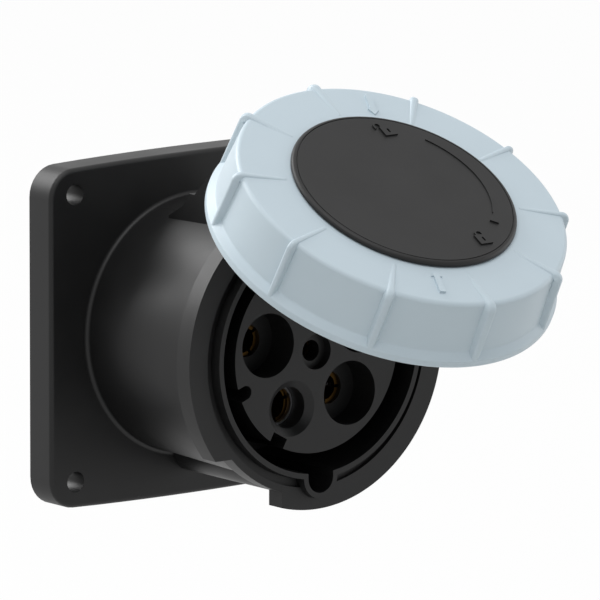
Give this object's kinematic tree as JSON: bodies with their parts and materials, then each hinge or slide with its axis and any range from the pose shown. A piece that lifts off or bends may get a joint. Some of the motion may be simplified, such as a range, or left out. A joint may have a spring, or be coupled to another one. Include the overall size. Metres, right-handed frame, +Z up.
{
  "type": "industrial panel socket",
  "caption": "Square-flanged round power socket for a panel, with slotted sleeve contacts in a keyed insert and a hinged sealing lid locked by a ribbed bayonet ring.",
  "frame": {"origin": "centre of the flange's mounting face", "axes": "+Y out of the back of the flange into the panel, -Y out of the socket's mouth, +Z up towards the hinge, +X to the right seen from the front"},
  "size_m": [0.1138, 0.2033, 0.1393],
  "materials": {
    "black_plastic": "satin moulded plastic",
    "grey_plastic": "satin moulded plastic",
    "brass": "turned",
    "steel": "zinc plated",
    "rubber": "matte"
  },
  "bodies": {
    "socket": {"housing": "black_plastic", "flange_seal": "rubber", "contact_carrier": "black_plastic", "terminal_block": "black_plastic", "contact_earth": "brass", "contact_neutral": "brass", "contact_line_1": "brass", "contact_line_2": "brass", "contact_line_3": "brass", "contact_pilot": "brass", "sleeve_springs": "steel", "terminal_screws": "steel", "pilot_screw": "steel", "carrier_screws": "steel", "hinge_pin": "steel"},
    "lid": {"lid_cap": "black_plastic", "lid_plate": "black_plastic", "lid_seal": "rubber", "lid_screws": "steel"},
    "ring": {"bayonet_ring": "grey_plastic"}
  },
  "joints": [
    {"name": "lid_hinge", "type": "hinge", "parent": "socket", "child": "lid", "pos_m": [0, -0.0537, 0.0554], "axis": [-1, 0, 0], "range_deg": [-59.6, 40.4]},
    {"name": "ring_turn", "type": "hinge", "parent": "lid", "child": "ring", "pos_m": [0, -0.1185, 0.05636], "axis": [0, 0.506, -0.8625], "range_deg": [0, 109]}
  ]
}
